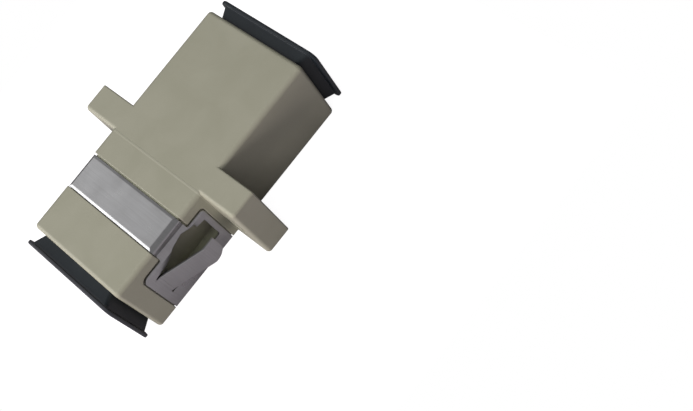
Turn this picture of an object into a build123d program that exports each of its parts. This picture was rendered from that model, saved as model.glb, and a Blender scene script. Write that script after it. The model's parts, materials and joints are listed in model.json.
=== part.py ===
from build123d import *
import os
from math import cos, radians, sin

# A sleeve adapter that joins two push-pull fibre plugs through a panel, in millimetres.
# X runs along the fibre from the clip side to the rear and Z is up. The origin is the
# middle of the alignment sleeve, which is also the middle of the flange.

# Moulded body
body_width = 12.8
body_height = 9.3
front_length = 12.0
rear_length = 12.0
flange_width = 21.5
flange_thickness = 3.0
flange_corner = 0.3
flange_front_edge = 0.4
flange_rear_edge = 0.15
screw_inset = 1.85
screw_hole = 2.2
top_edge = 0.5
bottom_edge = 0.3
end_edge = 0.4
seam_edge = 0.06

# Plug port at each end
port_width = 9.1
port_height = 7.5
port_corner = 0.3
port_lead_in = 0.25
keyway_width = 2.6
keyway_length = 3.0

# Seat of the two sleeve holders inside the flange
seat_step_side = 0.65
seat_step_top = 0.35
seat_clearance = 0.04
plate_thickness = 0.8

# Alignment sleeve and the barrels that hold it
sleeve_length = 11.4
sleeve_bore = 2.5
sleeve_wall = 0.35
sleeve_slot = 0.5
sleeve_clearance = 0.075
sleeve_end_play = 0.05
barrel_wall = 0.825
lip_thickness = 0.35
lip_clearance = 0.2
lip_lead_in = 0.15
barrel_edge = 0.2

# Latch arms of the sleeve holders
arm_gap = 6.6
arm_thickness = 0.8
arm_height = 3.6
arm_length = 8.9
hook_reach = 0.4
hook_length = 0.5
hook_lead_in = 0.6

# Sheet-metal panel clip
sheet = 0.2
clip_seat_gap = 0.03
clip_edge_gap = 0.12
clip_front_margin = 2.5
clip_length = 8.65
clip_front_corner = 0.65
clip_rear_corner = 0.4
clip_inner_corner = 0.2
strap_offset = 2.58
strap_width = 3.88
strap_front_gap = 0.06
strap_rear_gap = 0.19
strap_bend = 0.5
strap_roll = 0.28
strap_roll_drop = 0.09
crease_tuck = 0.3
crease_drop = 1.38
jog_height = 0.95
panel_drop = 2.05
panel_top_gap = 0.45
bottom_bend = 0.3
lip_length = 2.2

# Sprung wing lanced out of each side of the clip
wing_root_offset = 1.05
wing_slope = 21.9
wing_slope_length = 5.1
wing_tip_length = 1.42
wing_knee = 0.6
wing_top = 1.2
wing_bottom = -1.95
wing_tip_corner = 1.3
wing_root_gap = 0.02

# Window that the wing leaves in the clip
window_slit = 0.15
window_relief = 0.35
window_rear_margin = 0.6
window_rear_top = 1.35
window_step_top = 1.6
window_step_length = 0.98
window_peak = 2.73
window_peak_lead = 0.86
window_peak_drop = 0.3
window_peak_length = 1.5
window_sweep = 1.5
window_corner = 0.3

# Pocket in the moulding that takes the wing when it is pressed in
pocket_wall = 0.55
pocket_margin = 0.25
pocket_top = 2.6
pocket_corner = 0.4

# Dust caps
cap_clearance = 0.1
cap_arm_gap = 0.6
cap_wall = 0.9
cap_floor = 0.7
cap_reach = 1.7
cap_corner = 0.4
cap_shoulder_side = 0.65
cap_shoulder_top = 0.1
cap_flare_side = 0.55
cap_flare_top = 0.15
cap_rim_thickness = 0.4
cap_rim_over_side = 0.05
cap_rim_inset_top = 0.5
cap_rim_corner = 0.9
cap_rim_edge = 0.12

# Places worked out from the sizes above
flange_front = -flange_thickness / 2
flange_rear = flange_thickness / 2
front_mouth = flange_front - front_length
rear_mouth = flange_rear + rear_length
screw_reach = flange_width / 2 - screw_inset
body_side = body_width / 2
body_top = body_height / 2
port_side = port_width / 2
port_top = port_height / 2
seat_width = port_width + 2 * seat_step_side
seat_height = port_height + 2 * seat_step_top
barrel_bore = sleeve_bore / 2 + sleeve_wall + sleeve_clearance
barrel_outer = barrel_bore + barrel_wall
lip_start = sleeve_length / 2 + sleeve_end_play
barrel_end = lip_start + lip_thickness
arm_end = plate_thickness + arm_length
cap_plug_end = arm_end + cap_arm_gap
cap_rim_width = body_width + 2 * cap_rim_over_side
cap_rim_height = body_height - 2 * cap_rim_inset_top

clip_front = front_mouth + clip_front_margin
clip_rear = clip_front + clip_length
clip_side = body_side
clip_top = body_top
strap_front = clip_front + strap_offset
strap_rear = strap_front + strap_width
strap_crease = clip_top - crease_drop
jog_foot = strap_crease - jog_height
panel_top = clip_top - panel_drop
hinge_x = clip_front + wing_root_offset
hinge_y = clip_side - sheet / 2
window_front = hinge_x - sheet / 2 - wing_root_gap
window_rear = clip_rear - window_rear_margin
window_bottom = wing_bottom - window_relief


def slab(low, high, width, height, corner=0.0):
    """A bar along X between two places, centred in Y and Z, with rounded long edges."""
    with BuildSketch(Plane.YZ.offset(low)) as section:
        if corner > 0:
            RectangleRounded(width, height, corner)
        else:
            Rectangle(width, height)
    return extrude(section.sketch, amount=high - low)


def cylinder(low, high, radius):
    """A round bar along X between two places, centred in Y and Z."""
    return extrude(Plane.YZ.offset(low) * Circle(radius), amount=high - low)


def edges_at(solid, place):
    """The edges of a solid that lie in the plane at this place along X."""
    return solid.edges().filter_by_position(Axis.X, place - 0.001, place + 0.001)


def corner_at(drawing, across, up):
    """The corner of a drawing that is nearest to a point."""
    return drawing.vertices().sort_by_distance(Vertex(across, up))[0]


def body_half(inner_end, mouth):
    """Half of the outer body as a solid bar towards +X, with rounded edges and mouth."""
    bar = slab(inner_end, mouth, body_width, body_height)
    bar = fillet(bar.edges().filter_by(Axis.X).group_by(Axis.Z)[-1], top_edge)
    bar = fillet(bar.edges().filter_by(Axis.X).group_by(Axis.Z)[0], bottom_edge)
    return fillet(edges_at(bar, mouth), end_edge)


def port(inner_end, mouth):
    """The plug's way in towards +X: the port, its lead-in and the keyway under it."""
    way = slab(inner_end, mouth, port_width, port_height, port_corner)
    narrow = Plane.YZ.offset(mouth - port_lead_in) * RectangleRounded(
        port_width, port_height, port_corner)
    wide = Plane.YZ.offset(mouth) * RectangleRounded(
        port_width + 2 * port_lead_in, port_height + 2 * port_lead_in, port_corner + port_lead_in)
    keyway_middle = Pos(mouth - keyway_length / 2, 0, -(port_top + body_top) / 2)
    keyway = keyway_middle * Box(keyway_length, keyway_width, 2 * (body_top - port_top))
    return way + loft([narrow, wide]) + keyway


def holder_seat(low, high, clearance):
    """The space between two places that the holders' plates and the spigot fill."""
    return slab(low, high, seat_width - 2 * clearance, seat_height - 2 * clearance)


def make_rear_housing():
    """The rear of the body, moulded with the whole flange and the seat of the holders."""
    flange = slab(flange_front, flange_rear, flange_width, body_height, flange_corner)
    flange = fillet(edges_at(flange, flange_front), flange_front_edge)
    flange = fillet(edges_at(flange, flange_rear), flange_rear_edge)
    housing = flange + body_half(flange_front, rear_mouth)
    housing -= holder_seat(flange_front, plate_thickness, 0)
    housing -= port(plate_thickness, rear_mouth)
    for side in (-1, 1):
        screw_axis = Pos(0, side * screw_reach, 0) * Rot(0, 90, 0)
        housing -= screw_axis * Cylinder(screw_hole / 2, 2 * flange_thickness)
    return housing


def clip_section(inset):
    """The clip's outline across the body, drawn in from its outer face by an inset."""
    with BuildSketch() as half:
        with BuildLine():
            Polyline(
                (0, clip_top),
                (clip_side, clip_top),
                (clip_side - crease_tuck, strap_crease),
                (clip_side, jog_foot),
                (clip_side, -clip_top),
                (0, -clip_top),
                close=True,
            )
        make_face()
        fillet(corner_at(half, clip_side, clip_top), strap_bend)
        fillet(corner_at(half, clip_side, -clip_top), bottom_bend)
    whole = half.sketch + mirror(half.sketch, Plane.YZ)
    if inset > 0:
        whole = offset(whole, amount=-inset, kind=Kind.INTERSECTION)
    return whole


def clip_outline(grow):
    """The clip seen from the side, as a bar through the body: its panels and its strap."""
    front, rear, top = clip_front - grow, clip_rear + grow, panel_top
    low, high = strap_front, strap_rear
    if grow > 0:
        low, high = strap_front - strap_front_gap, strap_rear + strap_rear_gap
        top = panel_top + panel_top_gap
    with BuildSketch() as side_view:
        with Locations(((front + rear) / 2, (top - body_height) / 2)):
            Rectangle(rear - front, top + body_height)
        with Locations(((low + high) / 2, body_height / 2)):
            Rectangle(high - low, body_height)
        fillet(corner_at(side_view, front, top), clip_front_corner + grow)
        fillet(corner_at(side_view, rear, top), clip_rear_corner + grow)
        fillet(corner_at(side_view, low, top), clip_inner_corner)
        fillet(corner_at(side_view, high, top), clip_inner_corner)
    return extrude(Plane.XZ * side_view.sketch, amount=body_width, both=True)


def clip_wrap(outer, inner_inset, grow):
    """The space between a solid round the body and the clip's section at an inset."""
    low, high = clip_front - grow, clip_rear + grow
    inner = extrude(Plane.YZ.offset(low) * clip_section(inner_inset), amount=high - low)
    lip_end = clip_side - bottom_bend - lip_length - grow
    between_lips = Pos((low + high) / 2, 0, -body_height) * Box(
        high - low, 2 * lip_end, 2 * (body_height - port_top))
    return (outer - inner - between_lips) & clip_outline(grow)


def edge_roll(place, way):
    """What the blanking takes off the strap's top along one edge: a wedge across the body."""
    with BuildSketch() as wedge:
        with BuildLine():
            Polyline(
                (place + way * strap_roll, clip_top),
                (place - way * strap_roll, clip_top - 2 * strap_roll_drop),
                (place - way * strap_roll, body_height),
                (place + way * strap_roll, body_height),
                close=True,
            )
        make_face()
    return extrude(Plane.XZ * wedge.sketch, amount=body_width, both=True)


def make_panel_clip():
    """The sheet-metal clip: strap, side panels and bottom lips, with the wings cut free."""
    outer = extrude(Plane.YZ.offset(clip_front) * clip_section(0), amount=clip_length)
    clip = clip_wrap(outer, sheet, 0)
    clip -= edge_roll(strap_front, 1) + edge_roll(strap_rear, -1)
    slit_top = wing_top + window_slit
    sweep_low = (hinge_x + window_sweep, slit_top + window_slit)
    peak_x = strap_rear - window_peak_lead
    sweep_high = (peak_x - window_peak_length, window_peak - window_peak_drop)
    step_x = window_rear - window_step_length
    peak_rear = ((peak_x + step_x) / 2, window_peak - window_peak_drop)
    with BuildSketch() as window:
        with BuildLine():
            Polyline(
                (window_front, window_bottom),
                (window_front, slit_top),
                sweep_low,
                sweep_high,
                (peak_x, window_peak),
                peak_rear,
                (step_x, (window_peak + window_step_top) / 2),
                (step_x, window_step_top),
                (window_rear, window_rear_top),
                (window_rear, window_bottom),
                close=True,
            )
        make_face()
        fillet(corner_at(window, *sweep_low), window_sweep)
        fillet(corner_at(window, *sweep_high), window_sweep)
        fillet(corner_at(window, peak_x, window_peak), window_corner)
        fillet(corner_at(window, *peak_rear), window_corner)
        fillet(corner_at(window, window_rear, window_bottom), window_corner)
    return clip - extrude(Plane.XZ * window.sketch, amount=body_width, both=True)


def make_clip_wing(side):
    """One sprung wing: a tongue bent out from its root, then level with the panel."""
    slope = radians(wing_slope)
    knee = (hinge_x + wing_slope_length * cos(slope), hinge_y + wing_slope_length * sin(slope))
    tip = (knee[0] + wing_tip_length, knee[1])
    with BuildSketch() as section:
        with BuildLine():
            FilletPolyline((hinge_x, hinge_y), knee, tip, radius=wing_knee)
        trace(line_width=sheet)
        with Locations((hinge_x, hinge_y)):
            Circle(sheet / 2)
    wing = Pos(0, 0, wing_bottom) * extrude(section.sketch, amount=wing_top - wing_bottom)
    tip_edges = edges_at(wing, tip[0]).filter_by(Axis.Y)
    wing = fillet(tip_edges.group_by(Axis.Z)[0], wing_tip_corner)
    if side < 0:
        wing = mirror(wing, Plane.XZ)
    return wing


def wing_pockets():
    """The two hollows in the moulding's sides that take the wings, as one cut."""
    low = window_front - pocket_margin
    high = window_rear + pocket_margin
    bottom = window_bottom - pocket_margin
    with BuildSketch() as side_view:
        with Locations(((low + high) / 2, (bottom + pocket_top) / 2)):
            RectangleRounded(high - low, pocket_top - bottom, pocket_corner)
    through = extrude(Plane.XZ * side_view.sketch, amount=body_width, both=True)
    return through - slab(low, high, port_width + 2 * pocket_wall, 2 * body_height)


def make_front_housing():
    """The front of the body: clip seat, wing pockets and a spigot for the rear housing."""
    shell = chamfer(edges_at(body_half(-flange_front, -front_mouth), -flange_front), seam_edge)
    shell += holder_seat(plate_thickness, -flange_front, seat_clearance)
    shell -= port(plate_thickness, -front_mouth)
    housing = mirror(shell, Plane.YZ)
    low, high = clip_front - clip_edge_gap, clip_rear + clip_edge_gap
    around = slab(low, high, 2 * body_width, 2 * body_height)
    housing -= clip_wrap(around, sheet + clip_seat_gap, clip_edge_gap)
    return housing - wing_pockets()


def make_sleeve_holder(side):
    """One of two like holders: a seat plate, half of the sleeve's barrel and latch arms."""
    holder = holder_seat(0, plate_thickness, seat_clearance)
    lip_hole = sleeve_bore / 2 + lip_clearance
    holder += cylinder(0, barrel_end, barrel_outer)
    holder -= cylinder(0, lip_start, barrel_bore)
    holder -= cylinder(0, barrel_end, lip_hole)
    end_circles = edges_at(holder, barrel_end).sort_by(SortBy.RADIUS)
    holder = chamfer(end_circles[0], lip_lead_in)
    end_circles = edges_at(holder, barrel_end).sort_by(SortBy.RADIUS)
    holder = chamfer(end_circles[-1], barrel_edge)
    inner, outer = arm_gap / 2, arm_gap / 2 + arm_thickness
    hook_start = arm_end - hook_lead_in - hook_length
    with BuildSketch() as top_view:
        with BuildLine():
            Polyline(
                (0, inner),
                (hook_start, inner),
                (hook_start, inner - hook_reach),
                (arm_end - hook_lead_in, inner - hook_reach),
                (arm_end, inner + hook_reach / 2),
                (arm_end, outer),
                (0, outer),
                close=True,
            )
        make_face()
    arm = Pos(0, 0, -arm_height / 2) * extrude(top_view.sketch, amount=arm_height)
    holder += arm + mirror(arm, Plane.XZ)
    if side < 0:
        holder = mirror(holder, Plane.YZ)
    return holder


def make_alignment_sleeve():
    """The split sleeve that lines the two ferrules up, with its slot on top."""
    end = sleeve_length / 2
    sleeve = cylinder(-end, end, sleeve_bore / 2 + sleeve_wall) - cylinder(-end, end, sleeve_bore / 2)
    slot_middle = Pos(0, 0, sleeve_bore / 2 + sleeve_wall / 2)
    return sleeve - slot_middle * Box(sleeve_length, sleeve_slot, 3 * sleeve_wall)


def make_dust_cap(mouth, side):
    """One dust cap: a hollow plug, a flared shoulder on the mouth and a thin rim."""
    plug_width, plug_height = port_width - 2 * cap_clearance, port_height - 2 * cap_clearance
    shoulder_width = port_width + 2 * cap_shoulder_side
    shoulder_height = port_height + 2 * cap_shoulder_top
    rim_end = mouth + cap_reach
    rim_start = rim_end - cap_rim_thickness
    shoulder = Plane.YZ.offset(mouth) * RectangleRounded(shoulder_width, shoulder_height, cap_corner)
    flare = Plane.YZ.offset(rim_start) * RectangleRounded(
        shoulder_width + 2 * cap_flare_side, shoulder_height + 2 * cap_flare_top, cap_corner)
    rim = slab(rim_start, rim_end, cap_rim_width, cap_rim_height, cap_rim_corner)
    rim = fillet(edges_at(rim, rim_start) + edges_at(rim, rim_end), cap_rim_edge)
    cap = slab(cap_plug_end, mouth, plug_width, plug_height, cap_corner)
    cap += loft([shoulder, flare]) + rim
    cap -= slab(
        cap_plug_end + cap_floor, rim_end, plug_width - 2 * cap_wall, plug_height - 2 * cap_wall, cap_corner)
    if side < 0:
        cap = mirror(cap, Plane.YZ)
    return cap


pieces = {
    "front_housing": make_front_housing(),
    "rear_housing": make_rear_housing(),
    "front_sleeve_holder": make_sleeve_holder(-1),
    "rear_sleeve_holder": make_sleeve_holder(1),
    "alignment_sleeve": make_alignment_sleeve(),
    "panel_clip": make_panel_clip(),
    "near_clip_wing": make_clip_wing(-1),
    "far_clip_wing": make_clip_wing(1),
    "front_dust_cap": make_dust_cap(-front_mouth, -1),
    "rear_dust_cap": make_dust_cap(rear_mouth, 1),
}

os.makedirs("parts", exist_ok=True)
for name, piece in pieces.items():
    export_step(piece, f"parts/{name}.step")
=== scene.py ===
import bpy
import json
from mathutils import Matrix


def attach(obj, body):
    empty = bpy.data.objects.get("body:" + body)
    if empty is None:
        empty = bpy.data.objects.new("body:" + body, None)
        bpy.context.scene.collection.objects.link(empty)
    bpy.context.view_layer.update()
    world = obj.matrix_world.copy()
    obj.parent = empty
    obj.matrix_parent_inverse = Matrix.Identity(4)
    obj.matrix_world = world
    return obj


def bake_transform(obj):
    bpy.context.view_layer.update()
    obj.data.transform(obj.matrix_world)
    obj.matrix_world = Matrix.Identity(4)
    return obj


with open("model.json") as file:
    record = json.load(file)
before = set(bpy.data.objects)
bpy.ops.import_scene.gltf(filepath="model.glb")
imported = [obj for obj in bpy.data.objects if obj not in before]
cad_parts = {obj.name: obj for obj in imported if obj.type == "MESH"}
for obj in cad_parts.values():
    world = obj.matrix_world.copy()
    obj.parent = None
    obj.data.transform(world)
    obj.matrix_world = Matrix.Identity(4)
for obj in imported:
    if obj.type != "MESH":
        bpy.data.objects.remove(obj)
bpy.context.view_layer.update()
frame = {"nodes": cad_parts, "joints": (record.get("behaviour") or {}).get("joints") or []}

import json
from math import cos, pi, radians, sin

import bmesh
import bpy
from mathutils import Matrix, Quaternion, Vector


# Moulded body, front and rear halves.
# Beige glass-filled polyester, injection moulded in a spark-eroded tool, so it has a fine
# even grain. The halves are pushed together and welded at the flange's front face.

beige = (0.300, 0.315, 0.226)
paler_beige = (0.322, 0.337, 0.246)
edge_highlight_beige = (0.44, 0.445, 0.345)
body_roughness = (0.35, 0.43)
body_edge_radius = 0.00012
body_grain_depth = 0.000004
face_alignment = 0.985
edge_alignment = 0.8
noise_core = (0.35, 0.65)
noise_spread = (0.3, 0.7)


def add_node(tree, kind, **settings):
    """A new node of a tree, with its own properties set."""
    node = tree.nodes.new(kind)
    for name, value in settings.items():
        setattr(node, name, value)
    return node


def vary(tree, mask, low, high, to_low, to_high):
    """A number that follows a mask from one range into another."""
    spread = add_node(tree, "ShaderNodeMapRange")
    spread.inputs["From Min"].default_value = low
    spread.inputs["From Max"].default_value = high
    spread.inputs["To Min"].default_value = to_low
    spread.inputs["To Max"].default_value = to_high
    tree.links.new(mask, spread.inputs["Value"])
    return spread.outputs["Result"]


def start_group(name, numbers, results):
    """An empty shader group with named inputs and outputs: its tree, its inputs and outputs."""
    tree = bpy.data.node_groups.new(name, "ShaderNodeTree")
    for label in numbers:
        tree.interface.new_socket(label, in_out="INPUT", socket_type="NodeSocketFloat")
    for label, kind in results:
        tree.interface.new_socket(label, in_out="OUTPUT", socket_type=kind)
    return tree, add_node(tree, "NodeGroupInput"), add_node(tree, "NodeGroupOutput")


def make_eased_edges():
    """Group: the normal of a part whose edges are rounded to a radius, and a mask of its edges."""
    tree, given, result = start_group(
        "eased_edges", ["Radius"], [("Normal", "NodeSocketVector"), ("Edge", "NodeSocketFloat")])
    rounded = add_node(tree, "ShaderNodeBevel", samples=12)
    surface = add_node(tree, "ShaderNodeNewGeometry")
    alignment = add_node(tree, "ShaderNodeVectorMath", operation="DOT_PRODUCT")
    link = tree.links.new
    link(given.outputs["Radius"], rounded.inputs["Radius"])
    link(rounded.outputs["Normal"], alignment.inputs[0])
    link(surface.outputs["Normal"], alignment.inputs[1])
    edge = vary(tree, alignment.outputs["Value"], face_alignment, edge_alignment, 0.0, 1.0)
    link(rounded.outputs["Normal"], result.inputs["Normal"])
    link(edge, result.inputs["Edge"])
    return tree


def make_mould_grain():
    """Group: the fine height of a spark-eroded mould face and slow clouds from the melt's flow."""
    tree, given, result = start_group(
        "mould_grain", ["Grains per Metre", "Clouds per Metre"],
        [("Height", "NodeSocketFloat"), ("Clouds", "NodeSocketFloat")])
    place = add_node(tree, "ShaderNodeTexCoord")
    grain = add_node(tree, "ShaderNodeTexNoise")
    grain.inputs["Detail"].default_value = 2.0
    clouds = add_node(tree, "ShaderNodeTexNoise")
    clouds.inputs["Detail"].default_value = 3.0
    clouds.inputs["Distortion"].default_value = 0.4
    link = tree.links.new
    for noise, scale, socket in (
            (grain, "Grains per Metre", "Height"), (clouds, "Clouds per Metre", "Clouds")):
        link(place.outputs["Object"], noise.inputs["Vector"])
        link(given.outputs[scale], noise.inputs["Scale"])
        link(noise.outputs["Fac"], result.inputs[socket])
    return tree


eased_edges = make_eased_edges()
mould_grain = make_mould_grain()


def start_material(name):
    """A new material with only a Principled shader: the material, its tree and the shader."""
    material = bpy.data.materials.new(name)
    material.use_nodes = True
    tree = material.node_tree
    return material, tree, tree.nodes["Principled BSDF"]


def place_group(tree, group, **values):
    """A shader group placed in a material, with its own values by input name."""
    node = add_node(tree, "ShaderNodeGroup", node_tree=group)
    for label, value in values.items():
        node.inputs[label.replace("_", " ")].default_value = value
    return node


def blend_colours(tree, mask, first, second, low=0.0, high=1.0):
    """A mix of two colours by a mask that is first stretched from low and high to 0 and 1."""
    mix = add_node(tree, "ShaderNodeMix", data_type="RGBA")
    tree.links.new(vary(tree, mask, low, high, 0.0, 1.0), mix.inputs["Factor"])
    first_colour, second_colour, mixed_colour = 6, 7, 2
    for socket, colour in ((first_colour, first), (second_colour, second)):
        if isinstance(colour, tuple):
            mix.inputs[socket].default_value = (*colour, 1.0)
        else:
            tree.links.new(colour, mix.inputs[socket])
    return mix.outputs[mixed_colour]


def finish_surface(tree, shader, colour, roughness, height, depth, normal):
    """Gives a shader its colour, its roughness and a bump of a real depth on a normal."""
    bump = add_node(tree, "ShaderNodeBump")
    bump.inputs["Strength"].default_value = 1.0
    bump.inputs["Distance"].default_value = depth
    tree.links.new(height, bump.inputs["Height"])
    tree.links.new(normal, bump.inputs["Normal"])
    tree.links.new(colour, shader.inputs["Base Color"])
    tree.links.new(roughness, shader.inputs["Roughness"])
    tree.links.new(bump.outputs["Normal"], shader.inputs["Normal"])


def make_beige_polyester():
    """The body's plastic: warm beige, satin, a little paler along its edges as a painted highlight."""
    material, tree, shader = start_material("beige_polyester")
    edges = place_group(tree, eased_edges, Radius=body_edge_radius)
    grain = place_group(tree, mould_grain, Grains_per_Metre=11000.0, Clouds_per_Metre=260.0)
    clouds = grain.outputs["Clouds"]
    body = blend_colours(tree, clouds, beige, paler_beige, *noise_core)
    # Paler along the rounded edges: a painted highlight.
    highlit_body = blend_colours(tree, edges.outputs["Edge"], body, edge_highlight_beige, high=1.3)
    satin = vary(tree, clouds, *noise_spread, *body_roughness)
    finish_surface(
        tree, shader, highlit_body, satin, grain.outputs["Height"], body_grain_depth, edges.outputs["Normal"])
    return material


def dress(names, material):
    """Gives CAD nodes a material in place of their plain one."""
    for name in names:
        piece = frame["nodes"][name]
        piece.data.materials.clear()
        piece.data.materials.append(material)


dress(["front_housing", "rear_housing"], make_beige_polyester())


# Weld bead round the joint of the halves.
# The little plastic that welding squeezes up between them. It cools all but flush and smoother than
# the moulded faces, and its paler colour is a painted highlight that shows as a thin line round the
# body.

body_width = 0.0128
body_height = 0.0093
top_corner = 0.0005
bottom_corner = 0.0003
joint_place = -0.0015
bead_front = joint_place - 0.00018
bead_sink = 0.00001
bead_crown = (
    (0.00006, 0.000012), (0.00008, 0.000005), (0.00008, 0.0), (0.00008, -0.000005), (0.00006, -0.000012))
skin_thickness = 0.00002
bead_highlight_beige = (0.316, 0.332, 0.24)
paler_bead_highlight_beige = (0.335, 0.351, 0.258)
bead_roughness = (0.30, 0.42)
bead_ripple_depth = 0.000003


def make_weld_plastic():
    """The body's plastic where it has melted and cooled in the open: smoother, and paler as a painted
    highlight.
    """
    material, tree, shader = start_material("welded_polyester")
    grain = place_group(tree, mould_grain, Grains_per_Metre=2600.0, Clouds_per_Metre=700.0)
    clouds = grain.outputs["Clouds"]
    # Paler than the body: a painted highlight along the joint.
    highlit_bead = blend_colours(tree, clouds, bead_highlight_beige, paler_bead_highlight_beige, *noise_spread)
    satin = vary(tree, clouds, *noise_spread, *bead_roughness)
    surface = add_node(tree, "ShaderNodeNewGeometry")
    finish_surface(
        tree, shader, highlit_bead, satin, grain.outputs["Height"], bead_ripple_depth,
        surface.outputs["Normal"])
    return material


def raise_outline(rise):
    """A matrix that moves the body's outline outwards by this much."""
    return Matrix.Diagonal((1.0, 1.0 + 2 * rise / body_width, 1.0 + 2 * rise / body_height, 1.0))


def pull_line(shape, line, matrix):
    """Extrudes a line of edges and moves its copy by a matrix: the edges of the copy."""
    pulled = bmesh.ops.extrude_edge_only(shape, edges=line)["geom"]
    moved = [item for item in pulled if isinstance(item, bmesh.types.BMVert)]
    bmesh.ops.transform(shape, matrix=matrix, verts=moved)
    return [item for item in pulled if isinstance(item, bmesh.types.BMEdge)]


def give_thickness(shape, outward):
    """Turns the faces of a skin so that the sum of outward is positive, and thickens it."""
    bmesh.ops.recalc_face_normals(shape, faces=shape.faces[:])
    if sum(outward(face) for face in shape.faces) < 0:
        bmesh.ops.reverse_faces(shape, faces=shape.faces[:])
    bmesh.ops.solidify(shape, geom=shape.faces[:], thickness=skin_thickness)


def make_piece(name, shape, material):
    """An object in the scene with the mesh of a finished bmesh and one material."""
    mesh = bpy.data.meshes.new(name)
    shape.to_mesh(mesh)
    shape.free()
    mesh.materials.append(material)
    piece = bpy.data.objects.new(name, mesh)
    bpy.context.scene.collection.objects.link(piece)
    return piece


def make_weld_bead():
    """A crowned band along the body's outline, from one side of the joint to the other."""
    shape = bmesh.new()
    bmesh.ops.create_grid(shape, x_segments=1, y_segments=1, size=0.5)
    bmesh.ops.transform(shape, matrix=Matrix.Rotation(radians(90.0), 4, "Y"), verts=shape.verts[:])
    bmesh.ops.scale(shape, vec=(1.0, body_width, body_height), verts=shape.verts[:])
    for up, corner in ((1, top_corner), (-1, bottom_corner)):
        ends = [vertex for vertex in shape.verts if vertex.co.z * up > 0]
        bmesh.ops.bevel(
            shape, geom=ends, offset=corner, offset_type="OFFSET", segments=8, profile=0.5,
            affect="VERTICES", material=-1)
    bmesh.ops.delete(shape, geom=shape.faces[:], context="FACES_ONLY")
    outline = shape.edges[:]
    start = raise_outline(-bead_sink) @ Matrix.Translation((bead_front, 0.0, 0.0))
    bmesh.ops.transform(shape, matrix=start, verts=shape.verts[:])
    for along, rise in bead_crown:
        step = raise_outline(rise) @ Matrix.Translation((along, 0.0, 0.0))
        outline = pull_line(shape, outline, step)
    give_thickness(shape, lambda face: face.normal.z * face.calc_center_median().z)
    for face in shape.faces:
        face.smooth = True
    bead = make_piece("weld_bead", shape, make_weld_plastic())
    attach(bead, "adapter")


make_weld_bead()


# Sleeve holders, two like mouldings back to back inside the flange.
# Unfilled natural plastic, off-white and slightly glossy, with the barrel and latch arms
# moulded in one piece with the seat plate.

off_white = (0.595, 0.61, 0.53)
paler_off_white = (0.65, 0.67, 0.59)
holder_roughness = (0.30, 0.40)
holder_edge_radius = 0.0001
holder_grain_depth = 0.000002


def make_natural_plastic():
    """The holders' plastic: off-white, smoother than the body, with faint flow clouds."""
    material, tree, shader = start_material("natural_plastic")
    edges = place_group(tree, eased_edges, Radius=holder_edge_radius)
    grain = place_group(tree, mould_grain, Grains_per_Metre=6000.0, Clouds_per_Metre=500.0)
    clouds = grain.outputs["Clouds"]
    body = blend_colours(tree, clouds, off_white, paler_off_white, *noise_core)
    gloss = vary(tree, clouds, *noise_spread, *holder_roughness)
    finish_surface(
        tree, shader, body, gloss, grain.outputs["Height"], holder_grain_depth, edges.outputs["Normal"])
    return material


dress(["front_sleeve_holder", "rear_sleeve_holder"], make_natural_plastic())


# Alignment sleeve.
# A tube of zirconia ceramic with one slot along it, fired and then ground round, which leaves
# very fine rings across its length.

ceramic_white = (0.76, 0.75, 0.71)
paler_ceramic_white = (0.80, 0.79, 0.75)
sleeve_roughness = (0.16, 0.26)
ring_waves = (22000.0, 300.0, 300.0)
sleeve_edge_radius = 0.00005
ring_depth = 0.000001


def add_streaks(tree, per_metre):
    """Noise with its own number of waves per metre along each axis, as drawn or ground marks."""
    place = add_node(tree, "ShaderNodeTexCoord")
    drawn_out = add_node(tree, "ShaderNodeMapping")
    drawn_out.inputs["Scale"].default_value = per_metre
    streaks = add_node(tree, "ShaderNodeTexNoise")
    streaks.inputs["Scale"].default_value = 1.0
    streaks.inputs["Detail"].default_value = 2.0
    tree.links.new(place.outputs["Object"], drawn_out.inputs["Vector"])
    tree.links.new(drawn_out.outputs["Vector"], streaks.inputs["Vector"])
    return streaks.outputs["Fac"]


def make_zirconia():
    """The sleeve's ceramic: white, polished, with ground rings too fine to see from afar."""
    material, tree, shader = start_material("zirconia")
    edges = place_group(tree, eased_edges, Radius=sleeve_edge_radius)
    rings = add_streaks(tree, ring_waves)
    body = blend_colours(tree, rings, ceramic_white, paler_ceramic_white, *noise_spread)
    polish = vary(tree, rings, *noise_spread, *sleeve_roughness)
    finish_surface(tree, shader, body, polish, rings, ring_depth, edges.outputs["Normal"])
    return material


dress(["alignment_sleeve"], make_zirconia())


# Panel clip and its two sprung wings.
# One piece of half-hard stainless strip, blanked, lanced and folded round the body. The strip's
# rolling lines run along the strap and down the panels, and its edges get a painted highlight.

rolled_grey = (0.475, 0.475, 0.48)
paler_rolled_grey = (0.525, 0.525, 0.532)
handled_grey = (0.45, 0.45, 0.45)
edge_highlight_grey = (0.56, 0.56, 0.56)
clip_roughness = (0.27, 0.37)
rolling_waves = (8000.0, 260.0, 260.0)
smudges_per_metre = 420.0
clip_edge_radius = 0.0001
rolling_depth = 0.000001


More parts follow.
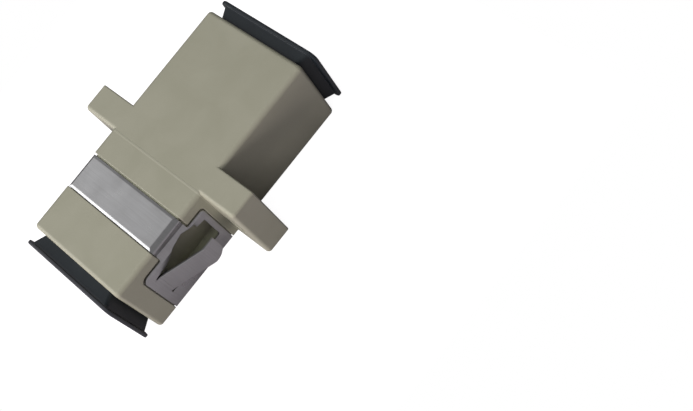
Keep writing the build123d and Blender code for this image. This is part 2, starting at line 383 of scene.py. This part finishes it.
def make_rolled_stainless(name, edge_radius):
    """The clip's steel: satin, with rolling lines, faint handling smudges and a painted highlight along
    its edges.
    """
    material, tree, shader = start_material(name)
    edges = place_group(tree, eased_edges, Radius=edge_radius)
    lines = add_streaks(tree, rolling_waves)
    place = add_node(tree, "ShaderNodeTexCoord")
    smudges = add_node(tree, "ShaderNodeTexNoise")
    smudges.inputs["Scale"].default_value = smudges_per_metre
    smudges.inputs["Detail"].default_value = 2.0
    smudges.inputs["Distortion"].default_value = 0.2
    tree.links.new(place.outputs["Object"], smudges.inputs["Vector"])
    touched = smudges.outputs["Fac"]
    rolled = blend_colours(tree, lines, rolled_grey, paler_rolled_grey, *noise_spread)
    handled = blend_colours(tree, touched, rolled, handled_grey, low=0.45)
    # Paler along the edges: a painted highlight.
    highlit_steel = blend_colours(tree, edges.outputs["Edge"], handled, edge_highlight_grey, high=1.2)
    satin = vary(tree, touched, *noise_spread, *clip_roughness)
    shader.inputs["Metallic"].default_value = 1.0
    finish_surface(tree, shader, highlit_steel, satin, lines, rolling_depth, edges.outputs["Normal"])
    return material


rolled_stainless = make_rolled_stainless("rolled_stainless", clip_edge_radius)
dress(["panel_clip", "near_clip_wing", "far_clip_wing"], rolled_stainless)


# Bend at the root of each wing.
# The same sheet, where the wing leaves the panel: flat on the panel, round the bend and up
# onto the wing.

sheet_thickness = 0.0002
bend_skin = 0.000004
bend_edge_radius = 0.000001
bend_angle = radians(21.9)
bend_bottom = -0.00195
bend_top = 0.0012
panel_run = 0.00016
wing_run = 0.0003
merge_distance = 0.000001
wing_hinges = {
    joint["child"]: Vector(joint["pos_m"]) for joint in frame["joints"] if joint["type"] == "hinge"
}
bent_stainless = make_rolled_stainless("bent_stainless", bend_edge_radius)


def make_wing_bend(name, side, wing):
    """The outer skin of a bend, spun round the wing's hinge, for one side of the body."""
    hinge = Vector((wing_hinges[wing].x, abs(wing_hinges[wing].y), 0.0))
    bend_radius = sheet_thickness / 2 + bend_skin
    shape = bmesh.new()
    ends = [
        shape.verts.new((hinge.x - 2 * panel_run, hinge.y + bend_radius, height))
        for height in (bend_bottom, bend_top)
    ]
    line = [shape.edges.new(ends)]
    for run in range(2):
        line = pull_line(shape, line, Matrix.Translation((panel_run, 0.0, 0.0)))
    turned = bmesh.ops.spin(
        shape, geom=line, cent=hinge, axis=(0.0, 0.0, 1.0), angle=bend_angle, steps=6)
    line = [item for item in turned["geom_last"] if isinstance(item, bmesh.types.BMEdge)]
    up_the_wing = Vector((cos(bend_angle), sin(bend_angle), 0.0)) * wing_run
    pull_line(shape, line, Matrix.Translation(up_the_wing))
    bmesh.ops.remove_doubles(shape, verts=shape.verts[:], dist=merge_distance)
    if side < 0:
        bmesh.ops.scale(shape, vec=(1.0, -1.0, 1.0), verts=shape.verts[:])
    give_thickness(shape, lambda face: face.normal.y * side)
    piece = make_piece(name, shape, bent_stainless)
    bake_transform(piece)


make_wing_bend("near_wing_bend", -1, "near_wing")
make_wing_bend("far_wing_bend", 1, "far_wing")


# Dust caps, one in each port.
# Soft polyethylene, near black with a little blue, pushed in by hand. The front cap's rim is
# a little paler as a painted highlight, and the gate is nipped off inside each cap's hollow.

cap_black = (0.011, 0.0155, 0.0185)
paler_cap_black = (0.017, 0.023, 0.026)
front_rim_highlight_black = (0.036, 0.040, 0.044)
edge_highlight_black = (0.10, 0.112, 0.12)
cap_roughness = (0.40, 0.52)
cap_edge_radius = 0.00012
cap_grain_depth = 0.000005
front_neck_end = -0.0146
front_rim_start = -0.0149
hollow_floor = 0.011
gate_radius = 0.00055
gate_top_radius = gate_radius * 0.8
gate_lip = gate_radius * 0.3
gate_height = 0.00016
gate_edge = gate_height * 0.3
gate_dip = gate_height * 0.35
gate_middle = hollow_floor + gate_height * 0.45
nearly_upright = 0.99


def make_soft_polyethylene():
    """The caps' plastic: blue-black, softly matt, with a painted highlight along its edges and on the
    front rim.
    """
    material, tree, shader = start_material("soft_polyethylene")
    edges = place_group(tree, eased_edges, Radius=cap_edge_radius)
    grain = place_group(tree, mould_grain, Grains_per_Metre=8000.0, Clouds_per_Metre=420.0)
    clouds = grain.outputs["Clouds"]
    body = blend_colours(tree, clouds, cap_black, paler_cap_black, *noise_core)
    place = add_node(tree, "ShaderNodeTexCoord")
    parts = add_node(tree, "ShaderNodeSeparateXYZ")
    tree.links.new(place.outputs["Object"], parts.inputs["Vector"])
    front_rim = vary(tree, parts.outputs["X"], front_neck_end, front_rim_start, 0.0, 1.0)
    # Paler over the front cap's rim: a painted highlight.
    highlit_rim = blend_colours(tree, front_rim, body, front_rim_highlight_black)
    # Paler along the rounded edges: a painted highlight.
    highlit_cap_edges = blend_colours(tree, edges.outputs["Edge"], highlit_rim, edge_highlight_black, high=1.2)
    matt = vary(tree, clouds, *noise_spread, *cap_roughness)
    shader.inputs["Specular IOR Level"].default_value = 0.4
    finish_surface(
        tree, shader, highlit_cap_edges, matt, grain.outputs["Height"], cap_grain_depth, edges.outputs["Normal"])
    return material


soft_polyethylene = make_soft_polyethylene()
dress(["front_dust_cap", "rear_dust_cap"], soft_polyethylene)


def make_gate_stub(name, side, cap):
    """The nipped-off gate in the middle of a cap's hollow: a low round stub with a dished top."""
    shape = bmesh.new()
    bmesh.ops.create_cone(
        shape, cap_ends=True, segments=32, radius1=gate_radius, radius2=gate_top_radius,
        depth=gate_height)
    rims = [edge for edge in shape.edges if all(vertex.co.z > 0 for vertex in edge.verts)]
    bmesh.ops.bevel(
        shape, geom=rims, offset=gate_edge, segments=3, profile=0.5, affect="EDGES", material=-1)
    top = [face for face in shape.faces if face.normal.z > nearly_upright]
    bmesh.ops.inset_region(shape, faces=top, thickness=gate_lip)
    bmesh.ops.translate(
        shape, vec=(0.0, 0.0, -gate_dip),
        verts=list({vertex for face in top for vertex in face.verts}))
    seat = Matrix.Translation((side * gate_middle, 0.0, 0.0))
    bmesh.ops.transform(
        shape, matrix=seat @ Matrix.Rotation(radians(90.0 * side), 4, "Y"), verts=shape.verts[:])
    piece = make_piece(name, shape, soft_polyethylene)
    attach(piece, cap)


make_gate_stub("front_cap_gate", -1, "front_cap")
make_gate_stub("rear_cap_gate", 1, "rear_cap")


# Floor.
# A small sheet of plain pale board under the adapter. It is white to the camera and paler in
# the steel away from the adapter, a painted shade near it in the steel, and it keeps a soft shadow.

floor_height = -0.00465
board_reach = 0.03
board_grey = (0.32, 0.32, 0.32)
board_glow = 0.95
adapter_reach = 0.012
open_board = 0.024
shaded_glow_by_adapter = 0.02
glow_in_open = 0.13
plain_white = (1.0, 1.0, 1.0)


def combine(tree, operation, first, second):
    """The product or the larger of two numbers, each of them a socket or a plain number."""
    node = add_node(tree, "ShaderNodeMath", operation=operation)
    for place, value in enumerate((first, second)):
        if isinstance(value, float):
            node.inputs[place].default_value = value
        else:
            tree.links.new(value, node.inputs[place])
    return node.outputs["Value"]


def make_pale_board():
    """The board's material: matt, glowing to the camera and a little to the steel."""
    material, tree, shader = start_material("pale_board")
    shader.inputs["Base Color"].default_value = (*board_grey, 1.0)
    shader.inputs["Roughness"].default_value = 1.0
    shader.inputs["Specular IOR Level"].default_value = 0.0
    shader.inputs["Emission Color"].default_value = (*plain_white, 1.0)
    path = add_node(tree, "ShaderNodeLightPath")
    place = add_node(tree, "ShaderNodeTexCoord")
    away = add_node(tree, "ShaderNodeVectorMath", operation="LENGTH")
    tree.links.new(place.outputs["Object"], away.inputs[0])
    # Weaker glow in the steel near the adapter: painted shade in its reflection.
    paler_away = vary(
        tree, away.outputs["Value"], adapter_reach, open_board, shaded_glow_by_adapter, glow_in_open)
    in_steel = combine(tree, "MULTIPLY", path.outputs["Is Glossy Ray"], paler_away)
    through = combine(tree, "MAXIMUM", in_steel, path.outputs["Is Transmission Ray"])
    seen = combine(tree, "MAXIMUM", through, path.outputs["Is Camera Ray"])
    glow = combine(tree, "MULTIPLY", seen, board_glow)
    tree.links.new(glow, shader.inputs["Emission Strength"])
    return material


def make_floor():
    """The board as one square."""
    shape = bmesh.new()
    bmesh.ops.create_grid(shape, x_segments=1, y_segments=1, size=board_reach)
    bmesh.ops.translate(shape, vec=(0.0, 0.0, floor_height), verts=shape.verts[:])
    board = make_piece("floor", shape, make_pale_board())


make_floor()


# Studio light and surroundings.
# A large soft box overhead and a low one before the front end light the plastic and are kept
# out of the reflections. The steel mirrors a small side window and the walls of the room.

lamp_distance = 0.30
rosy_white = (1.0, 0.87, 0.95)
fill_tint = (1.0, 0.83, 0.98)


def make_soft_box(name, direction, width, level, tint, mirrored):
    """A square lamp that gives a face turned to it the stated level, where 1 is plain."""
    lamp = bpy.data.lights.new(name, "AREA")
    lamp.shape = "SQUARE"
    lamp.size = width
    lamp.color = tint
    lamp.energy = level * (pi * lamp_distance) ** 2
    box = bpy.data.objects.new(name, lamp)
    away = Vector(direction).normalized()
    box.location = away * lamp_distance
    box.rotation_mode = "QUATERNION"
    box.rotation_quaternion = (-away).to_track_quat("-Z", "Y")
    box.visible_glossy = mirrored
    bpy.context.scene.collection.objects.link(box)


make_soft_box("overhead_soft_box", (-0.30, 0.0, 0.95), 0.20, 0.50, plain_white, mirrored=False)
make_soft_box("front_soft_box", (-0.94, -0.25, 0.26), 0.12, 0.91, rosy_white, mirrored=False)
make_soft_box("side_window", (-0.56, 0.57, 0.60), 0.10, 0.095, plain_white, mirrored=True)


def choose_shader(tree, mask, first, second):
    """A mix of two shaders, which is the second one for rays that the mask is 1 for."""
    mix = add_node(tree, "ShaderNodeMixShader")
    tree.links.new(mask, mix.inputs["Fac"])
    tree.links.new(first, mix.inputs[1])
    tree.links.new(second, mix.inputs[2])
    return mix.outputs["Shader"]


def make_room():
    """The room round the table: an even fill that is brighter at the front end, and walls that
    the steel mirrors, bright behind the adapter and darker before it."""
    room = bpy.data.worlds.new("room")
    room.use_nodes = True
    tree = room.node_tree
    way = add_node(tree, "ShaderNodeTexCoord")
    parts = add_node(tree, "ShaderNodeSeparateXYZ")
    tree.links.new(way.outputs["Generated"], parts.inputs["Vector"])
    endwise = vary(tree, parts.outputs["X"], -0.8, 0.6, 1.3, 0.2)
    rising = vary(tree, parts.outputs["Y"], 0.42, 0.70, 0.38, 1.56)
    falling = vary(tree, parts.outputs["Y"], 0.74, 0.90, 1.0, 0.12)
    walls = combine(tree, "MULTIPLY", combine(tree, "MULTIPLY", rising, falling), endwise)
    frontwise = vary(tree, parts.outputs["X"], -0.6, 0.35, 0.56, 0.10)
    fill = tree.nodes["Background"]
    mirrored = add_node(tree, "ShaderNodeBackground")
    white = add_node(tree, "ShaderNodeBackground")
    white.inputs["Strength"].default_value = 1.0
    for background, tint in ((fill, fill_tint), (mirrored, plain_white), (white, plain_white)):
        background.inputs["Color"].default_value = (*tint, 1.0)
    tree.links.new(frontwise, fill.inputs["Strength"])
    tree.links.new(walls, mirrored.inputs["Strength"])
    path = add_node(tree, "ShaderNodeLightPath")
    lit = choose_shader(
        tree, path.outputs["Is Glossy Ray"], fill.outputs["Background"], mirrored.outputs["Background"])
    seen = combine(tree, "MAXIMUM", path.outputs["Is Camera Ray"], path.outputs["Is Transmission Ray"])
    either = choose_shader(tree, seen, lit, white.outputs["Background"])
    tree.links.new(either, tree.nodes["World Output"].inputs["Surface"])
    return room


bpy.context.scene.world = make_room()
bpy.context.scene.view_settings.view_transform = "Standard"


# Camera.
# It looks steeply down at the near side from in front of the clip, rolled so that the body
# runs up to the right, with the adapter left of the middle of the frame.

line_of_sight = Vector((0.0646, 0.5583, -0.8271))
camera_roll = Quaternion((0.0, 0.0, 1.0), radians(-45.74))
lens = bpy.data.cameras.new("camera")
lens.sensor_width = 36.0
lens.lens = 61.4
lens.shift_x = 0.1897
lens.shift_y = -0.0426
lens.clip_start = 0.002
camera = bpy.data.objects.new("camera", lens)
bpy.context.scene.collection.objects.link(camera)
camera.location = (-0.006271, -0.066380, 0.093389)
camera.rotation_mode = "QUATERNION"
camera.rotation_quaternion = line_of_sight.to_track_quat("-Z", "Y") @ camera_roll
bpy.context.scene.camera = camera
